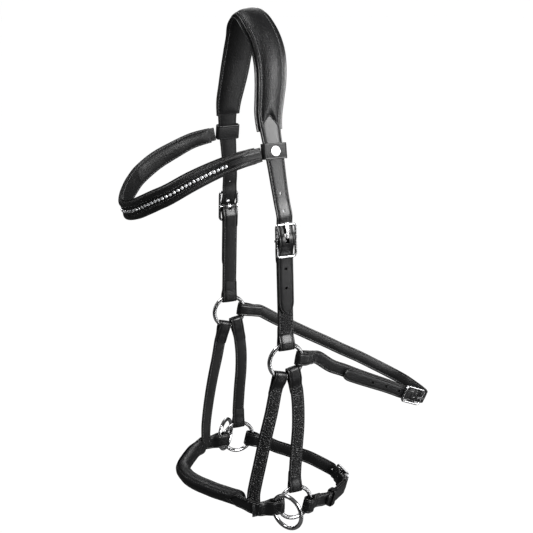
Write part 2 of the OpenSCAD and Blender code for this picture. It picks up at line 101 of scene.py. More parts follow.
NOSE_ROUTE = [
    (90.5, -31, -561, 18, 2.6), (86, -37, -559, 18, 2.6), (78, -43.5, -557, 17, 2.6),
    (70, -51.5, -555, 16, 2.6), (61, -60.5, -553.5, 15, 2.6), (50.5, -69, -553, 14, 2.6),
    (40, -76.5, -552, 14, 2.6), (28, -84.5, -551, 14, 2.6), (14, -91.5, -549, 14, 2.6), (0, -94, -547, 14, 2.6),
]
NOSE_WIDE = (0, 0.1, -1)
TAB_LEN, TAB_HALF, TAB_SLOT = 21, 3.9, 7.5
JOWL_WIDE = (0, 0.45, 0.89)
JOWL_NEAR = [
    (84, 70, -397, 16, 2.8), (79, 90, -408, 16, 2.8), (74, 113, -421, 16, 2.8), (68.5, 137, -434, 16, 2.8),
    (63, 160, -446.5, 16, 2.8),
]
JOWL_FAR = [
    (-84, 70, -394, 16, 2.8), (-79, 90, -405, 16, 2.8), (-74, 113, -418, 16, 2.8), (-68.5, 137, -431, 16, 2.8),
    (-63, 160, -444, 16, 2.8), (-58, 184, -457, 16, 2.8), (-52, 206, -470, 16, 2.8), (-43, 225, -481, 16, 2.8),
    (-29, 239, -489, 16, 2.6), (-10, 246, -494, 16, 2.6), (10, 245.5, -494, 16, 2.6),
    (28, 238, -489.5, 16, 2.6),
]
JOWL_BAR = (53, 199, -468)
JOWL_ALONG = (-0.29, 0.852, -0.436)
CHIN_WIDE = (0, 0.3, 0.95)
CHIN_NEAR = [
    (75.5, 70, -580, 18, 2.8), (67.5, 81, -583, 18, 2.8), (58, 92, -586, 18, 2.8),
    (47.5, 103, -589, 18, 2.8), (38.5, 111.5, -592, 18, 2.8), (29.5, 118.5, -595, 18, 2.8),
]
CHIN_FAR = [
    (-75.5, 70, -580, 18, 2.8), (-67.5, 81, -583, 18, 2.8), (-58, 92, -586, 18, 2.8), (-49, 102, -588, 18, 2.8),
    (-40, 112, -592, 18, 2.6),
]
CHIN_BAR = (1, 124, -598)
CHIN_ALONG = (-0.985, 0.1, -0.1)
KEEPER_AT = (67.5, 81, -583)
KEEPER_ALONG = (-0.61, 0.766, -0.2)


# ---------------------------------------------------------------- vectors and paths
def square_to(v, t):
    return (v - t * v.dot(t)).normalized()


def smoothstep(x):
    x = min(max(x, 0.0), 1.0)
    return x * x * (3 - 2 * x)


def mix(a, b, x):
    return a + (b - a) * x


def catmull(p, steps):
    """The CAD's smooth curve through route points (x, y, z, width, thickness)."""
    out = []
    for i in range(len(p) - 1):
        a, b, c, d = p[max(i - 1, 0)], p[i], p[i + 1], p[min(i + 2, len(p) - 1)]
        for k in range(steps):
            t = k / steps
            out.append(tuple(
                0.5 * (2 * b[j] + (c[j] - a[j]) * t + (2 * a[j] - 5 * b[j] + 4 * c[j] - d[j]) * t * t
                       + (3 * b[j] - a[j] - 3 * c[j] + d[j]) * t ** 3) for j in range(5)))
    return out + [tuple(p[-1])]


def flip(points):
    """Route points of the other side of the head."""
    return [(-q[0],) + tuple(q[1:]) for q in points]


class Path:
    """A strap's centre surface: places along it, with its width and outward directions."""

    def __init__(self, stations, closed=False):
        # stations: (place, width direction, width, thickness), in mm
        self.closed = closed
        stations = [q for k, q in enumerate(stations) if k == 0 or (q[0] - stations[k - 1][0]).length > 0.05]
        self.p = [Vector(q[0]) for q in stations]
        self.width = [q[2] for q in stations]
        self.thick = [q[3] for q in stations]
        n = len(self.p)
        self.s = [0.0]
        for i in range(1, n):
            self.s.append(self.s[-1] + (self.p[i] - self.p[i - 1]).length)
        self.t, self.w, self.up = [], [], []
        for i in range(n):
            if closed:
                a, b = self.p[(i - 1) % n], self.p[(i + 1) % n]
            else:
                a, b = self.p[max(i - 1, 0)], self.p[min(i + 1, n - 1)]
            t = (b - a).normalized()
            w = square_to(Vector(stations[i][1]), t)
            self.t.append(t)
            self.w.append(w)
            self.up.append(t.cross(w))

    @property
    def length(self):
        return self.s[-1]

    def find(self, s):
        s = min(max(s, 0.0), self.length)
        lo, hi = 0, len(self.s) - 1
        while hi - lo > 1:
            mid = (lo + hi) // 2
            if self.s[mid] <= s:
                lo = mid
            else:
                hi = mid
        f = (s - self.s[lo]) / max(self.s[hi] - self.s[lo], 1e-9)
        return lo, hi, f

    def at(self, s, u=0.0, v=0.0):
        lo, hi, f = self.find(s)
        w = self.w[lo].lerp(self.w[hi], f)
        up = self.up[lo].lerp(self.up[hi], f)
        return self.p[lo].lerp(self.p[hi], f) + w * u + up * v

    def size(self, s):
        lo, hi, f = self.find(s)
        return mix(self.width[lo], self.width[hi], f), mix(self.thick[lo], self.thick[hi], f)

    def axes(self, s):
        lo, hi, f = self.find(s)
        t = self.t[lo].lerp(self.t[hi], f).normalized()
        w = square_to(self.w[lo].lerp(self.w[hi], f), t)
        return t, w, t.cross(w)

    def nearest(self, place):
        place = Vector(place)
        best = min(range(len(self.p)), key=lambda i: (self.p[i] - place).length)
        return self.s[best]


def run(route, wide, wide_end=None, steps=8):
    """Stations along a route, the width direction turning from wide to wide_end."""
    c = catmull(route, steps)
    wide, wide_end = Vector(wide), Vector(wide_end or wide)
    return [(Vector(q[:3]), wide.lerp(wide_end, i / (len(c) - 1)), q[3], q[4]) for i, q in enumerate(c)]


def ring_frame(centre, angles, lean):
    """Origin on the ring wire, outgoing, outward and width directions of a folded loop on the near side.

    angles are the place on the ring and the direction in which the strap leaves it.
    """
    place, leave = (math.radians(a) for a in angles)
    cl, sl = math.cos(math.radians(lean)), math.sin(math.radians(lean))
    radial, out = Vector((0, math.cos(leave), math.sin(leave))), Vector((1, 0, 0))
    origin = Vector(centre) + RING_R * Vector((0, math.cos(place), math.sin(place)))
    return origin, cl * radial + sl * out, -sl * radial + cl * out, Vector((0, math.sin(leave), -math.cos(leave)))


def sagitta(w):
    return RING_R - math.sqrt(RING_R ** 2 - w * w / 4)


def skew(w, angles):
    return w / 2 * math.tan(math.radians(abs(angles[1] - angles[0])))


def fold(origin, p_dir, q_dir, w_dir, w, mid, half, slot, length, t, over=9.0):
    """Stations of a strap end folded round a wire, from the neck over the outside and back underneath."""
    centre = half + SKIVED / 2
    out = []

    def add(p, q, thick, width=w):
        out.append((origin + p_dir * p + q_dir * q, w_dir, width, thick))

    steps = 9
    for k in range(steps):
        p = mix(length - 1, slot, k / steps)
        x = smoothstep((length - 1 - p) / (length - 1 - slot))
        add(p, centre * x, mix(t - 0.1, SKIVED, x))
    arc = 14
    for k in range(arc + 1):
        a = math.radians(90 + 180 * k / arc)
        add(mid + centre * math.cos(a), centre * math.sin(a), SKIVED)
    low = t / 2 + SKIVED / 2 + 0.12
    for k in range(1, steps + 1):
        p = mix(slot, length - 1, k / steps)
        x = smoothstep((length - 2 - p) / (length - 2 - slot))
        add(p, -mix(low, centre, x), SKIVED)
    for k in range(1, 5):
        f = k / 4
        add(length - 1 + over * f, -low + 0.55 * f, mix(SKIVED, 0.7, f), w - 2.5 * max(f - 0.8, 0))
    return out


def bar_fold(at, along, out_dir, w, t, over=14.0):
    """Stations of a strap end wrapped round a buckle's centre bar, starting where the strap reaches it."""
    a_dir = Vector(along).normalized()
    c_dir = square_to(Vector(out_dir), a_dir)
    w_dir = c_dir.cross(a_dir)
    at = Vector(at)
    out = []

    def add(a, c, thick, width=w):
        out.append((at + a_dir * a + c_dir * c, w_dir, width, thick))

    radius = 2.65
    for k in range(1, 9):
        a = mix(-14, -1.2, k / 8)
        add(a, (BAR_C + radius - 0.15) * smoothstep(k / 8), mix(t, SKIVED, k / 8))
    for k in range(13):
        g = math.radians(92 - 184 * k / 12)
        add(radius * math.cos(g), BAR_C + radius * math.sin(g), SKIVED - 0.1)
    low = t / 2 + SKIVED / 2 + 0.12
    for k in range(1, 9):
        add(mix(-1.2, -12, k / 8), mix(BAR_C - radius, -low, smoothstep(k / 8)), SKIVED - 0.1)
    for k in range(1, 5):
        f = k / 4
        add(-12 - over * f, -low + 0.45 * f, mix(SKIVED - 0.1, 0.7, f), w - 2.5 * max(f - 0.8, 0))
    return out


def neck_points(centre, angles, lean, w, t):
    origin, p_dir, _, _ = ring_frame(centre, angles, lean)
    neck = NECK + skew(w, angles)
    return [tuple(origin + p_dir * (neck - 1)) + (w - 0.2, t - 0.1), tuple(origin + p_dir * (neck + 7)) + (w, t)]


def ring_fold(centre, angles, lean, w, t, extra=0.0):
    origin, p_dir, q_dir, w_dir = ring_frame(centre, angles, lean)
    slant = skew(w, angles)
    return fold(origin, p_dir, q_dir, w_dir, w, -sagitta(w) - 1.3 * slant, WIRE_R + CLEAR + extra, 1 + slant,
                NECK + slant, t)


def other_side(stations):
    """The same stations mirrored to the far side, still facing outwards."""
    return [(Vector((-p.x, p.y, p.z)), Vector((w.x, -w.y, -w.z)), a, b) for p, w, a, b in stations]


def turned(stations):
    """Stations in the opposite order, still facing the same way out."""
    return [(p, -w, a, b) for p, w, a, b in reversed(stations)]


def facing(stations, sign):
    return [(p, w * sign, a, b) for p, w, a, b in stations]


# ---------------------------------------------------------------- materials
def material(name):
    """A node material, its tree and surface node, and the object coordinates that its textures use."""
    m = bpy.data.materials.new(name)
    m.use_nodes = True
    tree = m.node_tree
    return m, tree, tree.nodes["Principled BSDF"], tree.nodes.new("ShaderNodeTexCoord")


def link(tree, a, out, b, inp):
    tree.links.new(a.outputs[out], b.inputs[inp])


def ramp(tree, stops):
    node = tree.nodes.new("ShaderNodeValToRGB")
    while len(node.color_ramp.elements) < len(stops):
        node.color_ramp.elements.new(0.5)
    for e, (pos, value) in zip(node.color_ramp.elements, stops):
        e.position = pos
        e.color = (value, value, value, 1) if isinstance(value, float) else (*value, 1)
    return node


def noise(tree, coords, scale, detail=2, distortion=0):
    node = tree.nodes.new("ShaderNodeTexNoise")
    node.inputs["Scale"].default_value = scale
    node.inputs["Detail"].default_value = detail
    node.inputs["Distortion"].default_value = distortion
    link(tree, coords, "Object", node, "Vector")
    return node


def relief(tree, source, output, strength, distance, under=None):
    """A bump from a height, laid over the bump below it."""
    node = tree.nodes.new("ShaderNodeBump")
    node.inputs["Strength"].default_value = strength
    node.inputs["Distance"].default_value = distance
    link(tree, source, output, node, "Height")
    if under:
        link(tree, under, "Normal", node, "Normal")
    return node


def leather(name, dark, light, rough, pebble, pebble_depth, sheen, coat, crease=0.0):
    """Leather with pebbled grain, painted shade in the grooves between pebbles, tone variation and edges that wear
    paler where the edge mask says so.
    """
    m, tree, bsdf, coords = material(name)
    new = tree.nodes.new
    warp = noise(tree, coords, 90, 3)
    bend = new("ShaderNodeVectorMath")
    bend.operation = "MULTIPLY_ADD"
    bend.inputs[1].default_value = (0.0016, 0.0016, 0.0016)
    link(tree, warp, "Color", bend, 0)
    link(tree, coords, "Object", bend, 2)
    cells = new("ShaderNodeTexVoronoi")
    cells.feature = "DISTANCE_TO_EDGE"
    cells.inputs["Scale"].default_value = pebble
    link(tree, bend, "Vector", cells, "Vector")
    cell_shape = ramp(tree, [(0.0, 0.0), (0.22, 0.8), (0.6, 1.0)])
    link(tree, cells, "Distance", cell_shape, "Fac")
    fine = noise(tree, coords, 2600, 3)
    folds = noise(tree, coords, 210, 4, 1.2)
    first = relief(tree, cell_shape, "Color", pebble_depth, 0.0009)
    second = relief(tree, fine, "Fac", 0.22, 0.00012, first)
    third = relief(tree, folds, "Fac", 0.18 + crease, 0.0009, second)
    link(tree, third, "Normal", bsdf, "Normal")
    patches = noise(tree, coords, 26, 5)
    tone = ramp(tree, [(0.32, dark), (0.72, light)])
    link(tree, patches, "Fac", tone, "Fac")
    edge = new("ShaderNodeAttribute")
    edge.attribute_name = "edge"
    rub = noise(tree, coords, 320, 4)
    rubbed = ramp(tree, [(0.42, 0.0), (0.66, 1.0)])
    link(tree, rub, "Fac", rubbed, "Fac")
    wear = new("ShaderNodeMath")
    wear.operation = "MULTIPLY"
    link(tree, rubbed, "Color", wear, 0)
    link(tree, edge, "Fac", wear, 1)
    worn = new("ShaderNodeMix")
    worn.data_type = "RGBA"
    worn.inputs["B"].default_value = (0.04, 0.038, 0.036, 1)
    link(tree, wear, "Value", worn, "Factor")
    link(tree, tone, "Color", worn, "A")
    # painted shade: the grooves between pebbles, where the grain bump is lowest, are mixed towards a near-black
    # colour
    low = new("ShaderNodeMix")
    low.data_type = "RGBA"
    low.inputs["A"].default_value = (0.004, 0.004, 0.0045, 1)
    groove_shade = ramp(tree, [(0.0, 0.25), (0.3, 1.0)])
    link(tree, cells, "Distance", groove_shade, "Fac")
    link(tree, groove_shade, "Color", low, "Factor")
    link(tree, worn, "Result", low, "B")
    tree.links.new(low.outputs["Result"], bsdf.inputs["Base Color"])
    gloss = ramp(tree, [(0.25, rough - 0.07), (0.75, rough + 0.09)])
    link(tree, patches, "Fac", gloss, "Fac")
    link(tree, gloss, "Color", bsdf, "Roughness")
    bsdf.inputs["Specular IOR Level"].default_value = 0.42
    bsdf.inputs["Sheen Weight"].default_value = sheen
    bsdf.inputs["Sheen Roughness"].default_value = 0.5
    bsdf.inputs["Coat Weight"].default_value = coat
    bsdf.inputs["Coat Roughness"].default_value = 0.32
    return m


def metal(name, colour, rough, scratch):
    m, tree, bsdf, coords = material(name)
    cloud = noise(tree, coords, 45, 5)
    gloss = ramp(tree, [(0.3, rough), (0.75, rough + 0.07)])
    link(tree, cloud, "Fac", gloss, "Fac")
    link(tree, gloss, "Color", bsdf, "Roughness")
    lines = noise(tree, coords, 1400, 2)
    bump = relief(tree, lines, "Fac", scratch, 0.00005)
    link(tree, bump, "Normal", bsdf, "Normal")
    tint = ramp(tree, [(0.2, tuple(c * 0.86 for c in colour)), (0.8, colour)])
    link(tree, cloud, "Fac", tint, "Fac")
    link(tree, tint, "Color", bsdf, "Base Color")
    bsdf.inputs["Metallic"].default_value = 1.0
    return m


def thread_material():
    m, tree, bsdf, coords = material("waxed_thread")
    twist = noise(tree, coords, 1800)
    tone = ramp(tree, [(0.3, (0.06, 0.06, 0.062)), (0.7, (0.15, 0.15, 0.153))])
    link(tree, twist, "Fac", tone, "Fac")
    link(tree, tone, "Color", bsdf, "Base Color")
    bump = relief(tree, twist, "Fac", 0.5, 0.0001)
    link(tree, bump, "Normal", bsdf, "Normal")
    bsdf.inputs["Roughness"].default_value = 0.5
    bsdf.inputs["Sheen Weight"].default_value = 0.2
    return m


def crystal_material():
    m, tree, bsdf, coords = material("cut_crystal")
    # painted glints: the base colour varies by noise between cool and warm white over the stones, standing in for the
    # coloured flashes of light in cut stones
    painted_fire_glints = noise(tree, coords, 700)
    tone = ramp(tree, [(0.3, (0.72, 0.76, 0.82)), (0.7, (1.0, 0.98, 0.95))])
    link(tree, painted_fire_glints, "Fac", tone, "Fac")
    link(tree, tone, "Color", bsdf, "Base Color")
    bsdf.inputs["Roughness"].default_value = 0.04
    bsdf.inputs["IOR"].default_value = 1.9
    bsdf.inputs["Metallic"].default_value = 0.35
    bsdf.inputs["Coat Weight"].default_value = 1.0
    bsdf.inputs["Coat Roughness"].default_value = 0.02
    return m


SMOOTH = leather("smooth_strap_leather", (0.003, 0.003, 0.0034), (0.007, 0.007, 0.0076), 0.35, 1100, 0.1, 0.0, 0.2)
GRAIN = leather("grained_strap_leather", (0.003, 0.003, 0.0034), (0.007, 0.007, 0.0074), 0.36, 380, 0.85, 0.02,
                0.12)
PADDED = leather("padded_soft_leather", (0.003, 0.003, 0.0036), (0.008, 0.008, 0.0085), 0.43, 480, 0.3, 0.02, 0.1,
                 0.1)
LINING = leather("matt_lining_leather", (0.0025, 0.0025, 0.0028), (0.006, 0.006, 0.0063), 0.48, 420, 0.14, 0.03, 0.0,
                 0.18)
EDGE = leather("painted_strap_edge", (0.002, 0.002, 0.0023), (0.005, 0.005, 0.0055), 0.34, 1500, 0.1, 0.0, 0.25)
THREAD = thread_material()
RING_METAL = metal("polished_ring_metal", (0.74, 0.74, 0.75), 0.15, 0.03)
BUCKLE_METAL = metal("polished_buckle_metal", (0.72, 0.72, 0.73), 0.17, 0.05)
STUD_METAL = metal("satin_stud_metal", (0.42, 0.42, 0.43), 0.3, 0.08)
CUP_METAL = metal("stone_cup_metal", (0.8, 0.8, 0.82), 0.16, 0.05)
CRYSTAL = crystal_material()


# ---------------------------------------------------------------- building meshes
def make(name, verts, faces, mats, slots=None, edge=None, smooth=True, sharp=50):
    """An object from vertices in mm. slots gives each face's material, edge each vertex's wear."""
    mesh = bpy.data.meshes.new(name)
    mesh.from_pydata([tuple(Vector(v) * MM) for v in verts], [], faces)
    for m in mats:
        mesh.materials.append(m)
    if slots:
        mesh.polygons.foreach_set("material_index", slots)
    if edge:
        mesh.attributes.new("edge", "FLOAT", "POINT").data.foreach_set("value", edge)
    obj = bpy.data.objects.new(name, mesh)
    bpy.context.scene.collection.objects.link(obj)
    b = bmesh.new()
    b.from_mesh(mesh)
    bmesh.ops.recalc_face_normals(b, faces=b.faces)
    b.to_mesh(mesh)
    b.free()
    finish_shading(obj, smooth, sharp)
    return obj


def finish_shading(obj, smooth=True, sharp=50):
    mesh = obj.data
    mesh.polygons.foreach_set("use_smooth", [smooth] * len(mesh.polygons))
    if smooth:
        mesh.set_sharp_from_angle(angle=math.radians(sharp))
    mesh.update()


def strap_section(w, t, crease=0.36, inset=2.3, crown=0.16):
    """Points (across, up, wear, slot) round a strap: eased edges, a creased groove along each, a gentle crown."""
    r = min(0.44 * t, 1.1)
    h, e = w / 2, t / 2
    pts = []

    def corner(cu, cv, a0):
        for k in range(4):
            a = math.radians(a0 + 30 * k)
            pts.append((cu + r * math.cos(a), cv + r * math.sin(a), 1.0 if 0 < k < 3 else 0.6, 1))

    corner(h - r, e - r, 0)
    g = h - inset
    for u, v in ((g + 0.55, e), (g, e - crease), (g - 0.55, e), (g * 0.55, e + crown * 0.7), (0, e + crown)):
        pts.append((u, v, 0.12 if abs(u) > g - 0.1 else 0.0, 0))
    for u, v in ((-g * 0.55, e + crown * 0.7), (0.55 - g, e), (-g, e - crease), (-g - 0.55, e)):
        pts.append((u, v, 0.12 if abs(u) > g - 0.1 else 0.0, 0))
    corner(r - h, e - r, 90)
    corner(r - h, r - e, 180)
    low = -e + crease * 0.7
    for u, v in ((-g - 0.4, -e), (-g, low), (0.4 - g, -e), (0, -e), (g - 0.4, -e), (g, low), (g + 0.4, -e)):
        pts.append((u, v, 0.0, 2))
    corner(h - r, r - e, 270)
    return pts


def tip_width(w, d, reach, point=0.3):
    """Width of a strap at distance d from a shaped end."""
    if d >= reach:
        return w
    x = max(d / reach, 0.0)
    return w * (point + (1 - point) * (1 - (1 - x) ** 2) ** 0.5)


def sweep(name, path, mats, section=strap_section, tips=(0, 0), start=0.0, stop=None, ends=(0, 0), **shape):
    """A strap along a path. mats are (face, edge, back, face of the ends); ends are the lengths that have the last.

    tips are the lengths of rounded ends.
    """
    n = len(path.p)
    stop = path.length if stop is None else stop
    rows = []
    keep = [i for i in range(n) if start <= path.s[i] <= stop]
    extra = []
    for end, reach in ((0, tips[0]), (1, tips[1])):
        if reach:
            for x in (0.0, 0.03, 0.1, 0.22, 0.4, 0.65, 1.0):
                extra.append(start + reach * x if end == 0 else stop - reach * x)
    places = sorted([path.s[i] for i in keep] + extra)
    places = [s for k, s in enumerate(places) if k == 0 or s - places[k - 1] > 0.05]
    for s in places:
        w, t = path.size(s)
        if tips[0]:
            w = tip_width(w, s - start, tips[0])
        if tips[1]:
            w = tip_width(w, stop - s, tips[1])
        rows.append((s, section(w, t, **shape)))
    m = len(rows[0][1])
    verts, wear, faces, slots = [], [], [], []
    for s, pts in rows:
        for u, v, e, _ in pts:
            verts.append(path.at(s, u, v))
            wear.append(e)
    count = len(rows)
    loops = count if path.closed else count - 1
    for i in range(loops):
        j = (i + 1) % count
        for k in range(m):
            k2 = (k + 1) % m
            faces.append((i * m + k, i * m + k2, j * m + k2, j * m + k))
            a, b = rows[0][1][k][3], rows[0][1][k2][3]
            slot = a if a == b else 1
            if slot == 0 and not ends[0] <= rows[i][0] <= stop - ends[1]:
                slot = 3
            slots.append(slot)
    if not path.closed:
        faces.append(tuple(range(m)))
        faces.append(tuple(range((count - 1) * m, count * m)))
        slots += [1, 1]
    return make(name, verts, faces, list(mats), slots, wear)


def box_cutter(at, along, out_dir, a, b, c):
    """A box cutter with extents a, b and c along the strap, across it and outwards."""
    a_dir = Vector(along).normalized()
    c_dir = square_to(Vector(out_dir), a_dir)
    b_dir = c_dir.cross(a_dir)
    verts = [Vector(at) + a_dir * x + b_dir * y + c_dir * z for x in a for y in b for z in c]
    faces = [(0, 1, 3, 2), (4, 6, 7, 5), (0, 4, 5, 1), (2, 3, 7, 6), (0, 2, 6, 4), (1, 5, 7, 3)]
    return verts, faces


def hole_cutter(at, out_dir, d, reach=7):
    n = Vector(out_dir).normalized()
    x = square_to(Vector((0.31, 0.57, 0.76)), n)
    y = n.cross(x)
    k = 20
    verts = [Vector(at) + n * z + (x * math.cos(2 * math.pi * i / k) + y * math.sin(2 * math.pi * i / k)) * d / 2
             for z in (-reach, reach) for i in range(k)]
    faces = [tuple(range(k))[::-1], tuple(range(k, 2 * k))]
    faces += [(i, (i + 1) % k, (i + 1) % k + k, i + k) for i in range(k)]
    return verts, faces


def cut(obj, cutters):
    """Punches closed cutter shapes out of a piece."""
    verts, faces = [], []
    for v, f in cutters:
        faces += [tuple(i + len(verts) for i in q) for q in f]
        verts += v
    tool = make("cutter", verts, faces, [EDGE], smooth=False)
    mod = obj.modifiers.new("cut", "BOOLEAN")
    mod.object = tool
    mod.operation = "DIFFERENCE"
    mod.solver = "EXACT"
    bake(obj)
    mesh = tool.data
    bpy.data.objects.remove(tool)
    bpy.data.meshes.remove(mesh)
    finish_shading(obj)


def bake(obj):
    """Applies a piece's modifiers to its mesh."""
    view = bpy.context.evaluated_depsgraph_get()
    view.update()
    new = bpy.data.meshes.new_from_object(obj.evaluated_get(view), preserve_all_data_layers=True, depsgraph=view)
    obj.modifiers.clear()
    old = obj.data
    name = old.name
    obj.data = new
    bpy.data.meshes.remove(old)
    new.name = name


# ---------------------------------------------------------------- stitching
class Stitches:
    """Rows of separate thread stitches, gathered into one piece."""

    RINGS = ((-1.0, 0.35), (-0.72, 0.9), (0.0, 1.0), (0.72, 0.9), (1.0, 0.35))
    ROUND = 6

    def __init__(self):
        self.verts, self.faces = [], []

    def one(self, place, t, w, up, long, thick):
        base = len(self.verts)
        for x, r in self.RINGS:
            dip = -0.25 * thick * abs(x) ** 3
            for k in range(self.ROUND):
                a = 2 * math.pi * k / self.ROUND
                self.verts.append(place + t * (x * long / 2) + w * (math.cos(a) * r * thick / 2)
                                  + up * (math.sin(a) * r * thick / 2 + dip))
        n = self.ROUND
        for i in range(len(self.RINGS) - 1):
            for k in range(n):
                k2 = (k + 1) % n
                here, ahead = base + i * n, base + (i + 1) * n
                self.faces.append((here + k, here + k2, ahead + k2, ahead + k))
        self.faces.append(tuple(base + k for k in range(n))[::-1])
        self.faces.append(tuple(base + (len(self.RINGS) - 1) * n + k for k in range(n)))

    def row(self, path, s0, s1, across, up, pitch=3.5, long=2.6, thick=0.8, slant=0.1):
        """Stitches from s0 to s1; across and up are functions of s, or numbers."""
        count = max(int((s1 - s0) / pitch), 1)
        step = (s1 - s0) / count
        for k in range(count):
            s = s0 + (k + 0.5) * step
            u = across(s) if callable(across) else across
            v = up(s) if callable(up) else up
            t, w, n = path.axes(s)
            if callable(across):
                du = across(s + 0.5) - across(s - 0.5)
                t = (t + w * du).normalized()
                w = square_to(w, t)
            lean = slant if u > 0 else -slant
            self.one(path.at(s, u, v), (t + w * lean).normalized(), w, n, long, thick)

    def across(self, path, s, half, up, pitch=3.0, long=2.2, thick=0.75):
        """A row of stitches straight across a strap."""
        count = max(int(2 * half / pitch), 1)
        t, w, n = path.axes(s)
        for k in range(count):
            u = -half + (k + 0.5) * 2 * half / count
            self.one(path.at(s, u, up), w, t, n, long, thick)

    def both(self, path, s0, s1, inset=2.3, faces=(1, -1), depth=0.12):
        for face in faces:
            for side in (1, -1):
                self.row(path, s0, s1, lambda s: side * (path.size(s)[0] / 2 - inset),
                         lambda s: face * (path.size(s)[1] / 2 - depth))

    def finish(self, name, body, slot):
        obj = make(name, self.verts, self.faces, [THREAD], sharp=80)
        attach(obj, body)
        return obj


def settle(obj, body, slot, *nodes):
    """Puts a finished piece on its body and hides the CAD nodes that it stands for. Its slot argument is not used."""
    if nodes:
        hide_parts(*nodes)
    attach(obj, body)
    return obj


# ---------------------------------------------------------------- padding
def inflate(obj, pinned, pressure, cap):
    """Swells the free skin of a padded piece by cloth simulation between its pinned seams, capped in mm."""
    start = [v.co.copy() for v in obj.data.vertices]
    group = obj.vertex_groups.new(name="seams")
    for weight in (1.0, 0.0):
        group.add([i for i in range(len(start)) if (i in pinned) == (weight > 0)], weight, "REPLACE")
    cloth = obj.modifiers.new("cloth", "CLOTH")
    cs = cloth.settings
    cs.vertex_group_mass = "seams"
    cs.quality = 6
    cs.mass = 0.25
    cs.tension_stiffness = cs.compression_stiffness = 22
    cs.shear_stiffness = 6
    cs.bending_stiffness = 0.6
    cs.air_damping = 4
    cs.use_pressure = True
    cs.uniform_pressure_force = pressure
    cs.effector_weights.gravity = 0
    scene = bpy.context.scene
    for frame_number in range(1, 17):
        scene.frame_set(frame_number)
    bake(obj)
    scene.frame_set(1)
    obj.vertex_groups.clear()
    for v, home in zip(obj.data.vertices, start):
        move = v.co - home
        if move.length > cap * MM:
            v.co = home + move.normalized() * cap * MM
    sub = obj.modifiers.new("round", "SUBSURF")
    sub.levels = sub.render_levels = 1
    bake(obj)
    finish_shading(obj, sharp=70)


PLAIN = ((-1, 0), (-0.93, 0), (-0.84, 0), (-0.79, 0), (-0.73, 0.3), (-0.64, 0.66), (-0.5, 0.86), (-0.34, 0.96),
         (-0.17, 1), (0, 1))
CHANNEL = ((-1, 0.1), (-0.95, 0.5), (-0.85, 0.86), (-0.7, 1), (-0.56, 0.9), (-0.46, 0.62), (-0.38, 0.2),
           (-0.32, 0), (-0.16, 0), (0, 0))


def pad(name, path, s0, s1, width, base, flange, height, mats, shape=PLAIN, face=1, notch=(0, 0), seam=0.79,
        ease=5.0, step=2.4, pressure=4.0, cap=1.2, start=0.75):
    """A padded strip on one face of a strap: flat edges, a raised skin between seams and notched or plain ends."""
    cols = list(shape) + [(-f, h) for f, h in reversed(shape[:-1])]
    rows = max(int((s1 - s0) / step), 8)
    verts, faces, slots, wear, pinned = [], [], [], [], set()
    n = len(cols)
    ends = (0, 0.2, 0.45, 0.7)
    rates = [e / rows for e in ends] + [i / rows for i in range(1, rows)] + [1 - e / rows for e in reversed(ends)]

    def lay(s, f, v):
        return path.at(s, f * width(s) / 2, face * v)

    grid = []
    for g in rates:
        line = []
        for f, h in cols:
            a = s0 + notch[0] * (1 - abs(f))
            b = s1 - notch[1] * (1 - abs(f))
            s = mix(a, b, g)
            d = min(s - a, b - s)
            rise = smoothstep((d - 1.6) / ease) ** 0.6
            line.append((s, f, base + flange + (height - flange) * h * rise * start, h * rise))
        grid.append(line)
    for line in grid:
        for s, f, v, h in line:
            if h <= 0.02 or abs(f) >= seam:
                pinned.add(len(verts))
            lip = 0.35 * flange if abs(f) == 1 else 0
            wear.append(0.8 if abs(f) > 0.9 else 0.0)
            verts.append(lay(s, f, v - lip))
    top = len(verts)
    for line in grid:
        for s, f, v, h in line:
            pinned.add(len(verts))
            wear.append(0.0)
            verts.append(lay(s, f, base))
    r = len(grid)
    for i in range(r - 1):
        for j in range(n - 1):
            faces.append((i * n + j, i * n + j + 1, (i + 1) * n + j + 1, (i + 1) * n + j))
            faces.append(tuple(top + q for q in ((i + 1) * n + j, (i + 1) * n + j + 1, i * n + j + 1, i * n + j)))
            slots += [0, 1]
        for j in (0, n - 1):
            faces.append((i * n + j, (i + 1) * n + j, top + (i + 1) * n + j, top + i * n + j))
            slots.append(1)
    for i in (0, r - 1):
        for j in range(n - 1):
            faces.append((i * n + j, i * n + j + 1, top + i * n + j + 1, top + i * n + j))
            slots.append(1)
    obj = make(name, verts, faces, list(mats), slots, wear)
    inflate(obj, pinned, pressure * 1000, cap)
    return obj


# ---------------------------------------------------------------- crown
def weave_points(at, along, out_dir, w, t):
    a = Vector(along).normalized()
    c = square_to(Vector(out_dir), a)
    return [tuple(Vector(at) + a * k + c * (h - BAR_C)) + (w, t) for k, h in WEAVE]


def cheek_axes(side=1):
    """The along and outward directions of a cheek buckle."""
    g = math.radians(CHEEK_LEAN)
    return Vector((side * math.sin(g), 0, math.cos(g))), Vector((side * math.cos(g), 0, -math.sin(g)))


def cheek_at(side, a, c):
    along, out = cheek_axes(side)
    return Vector((side * CHEEK_BAR[0], CHEEK_BAR[1], CHEEK_BAR[2])) + along * a + out * c


